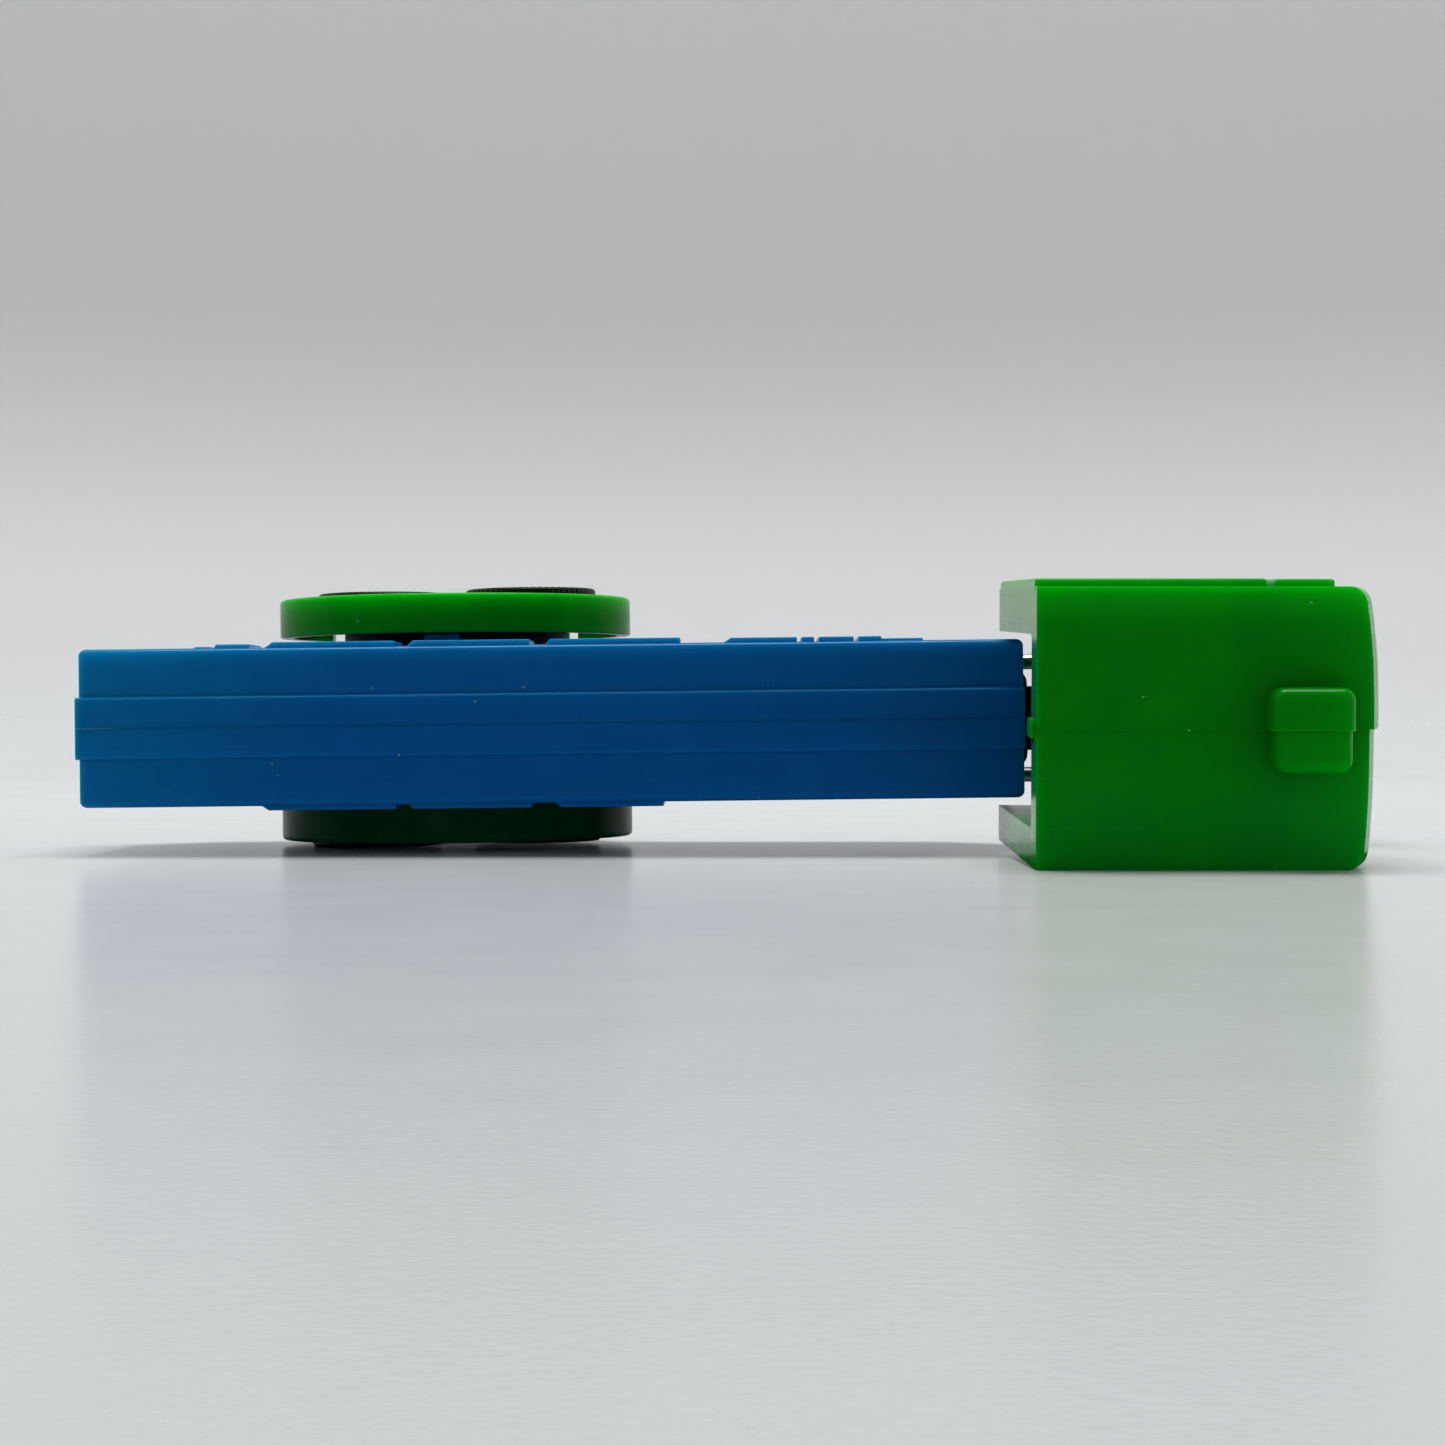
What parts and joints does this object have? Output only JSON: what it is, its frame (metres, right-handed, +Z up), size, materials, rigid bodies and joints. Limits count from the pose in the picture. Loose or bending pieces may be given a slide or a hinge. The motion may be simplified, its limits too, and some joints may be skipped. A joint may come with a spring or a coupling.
{
  "type": "toy bulldozer",
  "caption": "Wheeled toy dozer lying on its flank: blue two-half hull, green cup wheels with black caps, tilting green cab, lifting front blade on push arms",
  "frame": {"origin": "centre of the bounding box in X and Y, on the table plane", "axes": "+X towards the blade, +Y towards the wheels' treads (vehicle down), +Z up as it lies on its right side"},
  "size_m": [0.1462, 0.0886, 0.0308],
  "materials": {
    "hull_left": "gloss",
    "hull_right": "gloss",
    "hull_screw_rear": "satin",
    "hull_screw_front": "satin",
    "chassis_spine": "satin",
    "bulkhead_buffer": "satin",
    "tie_rod_upper": "bright",
    "tie_rod_lower": "bright",
    "seat": "matt",
    "steering_column": "satin",
    "steering_wheel": "satin",
    "rear_axle": "bright",
    "front_axle": "bright",
    "cab_right": "gloss",
    "cab_left": "gloss",
    "cab_hinge_pin": "bright",
    "blade": "gloss",
    "cutting_edge": "satin",
    "blade_pin": "bright",
    "rear_left_cup": "gloss",
    "rear_left_cap_a": "satin",
    "rear_left_cap_b": "satin",
    "rear_left_drum": "matt",
    "rear_right_cup": "gloss",
    "rear_right_cap_a": "satin",
    "rear_right_cap_b": "satin",
    "rear_right_drum": "matt",
    "front_left_cup": "gloss",
    "front_left_cap_a": "satin",
    "front_left_cap_b": "satin",
    "front_right_cup": "gloss",
    "front_right_cap_a": "satin",
    "front_right_cap_b": "satin"
  },
  "bodies": {
    "hull": {"hull_left": "hull_left", "hull_right": "hull_right", "hull_screw_rear": "hull_screw_rear", "hull_screw_front": "hull_screw_front", "chassis_spine": "chassis_spine", "bulkhead_buffer": "bulkhead_buffer", "tie_rod_upper": "tie_rod_upper", "tie_rod_lower": "tie_rod_lower", "seat": "seat", "steering_column": "steering_column", "steering_wheel": "steering_wheel", "rear_axle": "rear_axle", "front_axle": "front_axle", "cab_hinge_pin": "cab_hinge_pin", "blade_pin": "blade_pin"},
    "cab": {"cab_right": "cab_right", "cab_left": "cab_left"},
    "dozer_blade": {"blade": "blade", "cutting_edge": "cutting_edge"},
    "rear_left_wheel": {"rear_left_cup": "rear_left_cup", "rear_left_cap_a": "rear_left_cap_a", "rear_left_cap_b": "rear_left_cap_b", "rear_left_drum": "rear_left_drum"},
    "rear_right_wheel": {"rear_right_cup": "rear_right_cup", "rear_right_cap_a": "rear_right_cap_a", "rear_right_cap_b": "rear_right_cap_b", "rear_right_drum": "rear_right_drum"},
    "front_left_wheel": {"front_left_cup": "front_left_cup", "front_left_cap_a": "front_left_cap_a", "front_left_cap_b": "front_left_cap_b"},
    "front_right_wheel": {"front_right_cup": "front_right_cup", "front_right_cap_a": "front_right_cap_a", "front_right_cap_b": "front_right_cap_b"}
  },
  "joints": [
    {"name": "rear_left_spin", "type": "hinge", "parent": "hull", "child": "rear_left_wheel", "pos_m": [-0.0338, 0.02315, 0.01453], "axis": [-0.0115, 0, 0.9999], "continuous": true},
    {"name": "rear_right_spin", "type": "hinge", "parent": "hull", "child": "rear_right_wheel", "pos_m": [-0.0338, 0.02315, 0.01453], "axis": [-0.0115, 0, 0.9999], "continuous": true},
    {"name": "front_left_spin", "type": "hinge", "parent": "hull", "child": "front_left_wheel", "pos_m": [0.05089, 0.03125, 0.01551], "axis": [-0.0115, 0, 0.9999], "continuous": true},
    {"name": "front_right_spin", "type": "hinge", "parent": "hull", "child": "front_right_wheel", "pos_m": [0.05089, 0.03125, 0.01551], "axis": [-0.0115, 0, 0.9999], "continuous": true},
    {"name": "cab_tilt", "type": "hinge", "parent": "hull", "child": "cab", "pos_m": [0.05839, 0.00275, 0.0156], "axis": [-0.0115, 0, 0.9999], "range_deg": [0, 40]},
    {"name": "blade_lift", "type": "hinge", "parent": "hull", "child": "dozer_blade", "pos_m": [0.04439, 0.02305, 0.01544], "axis": [0.0115, 0, -0.9999], "range_deg": [0, 18]}
  ]
}
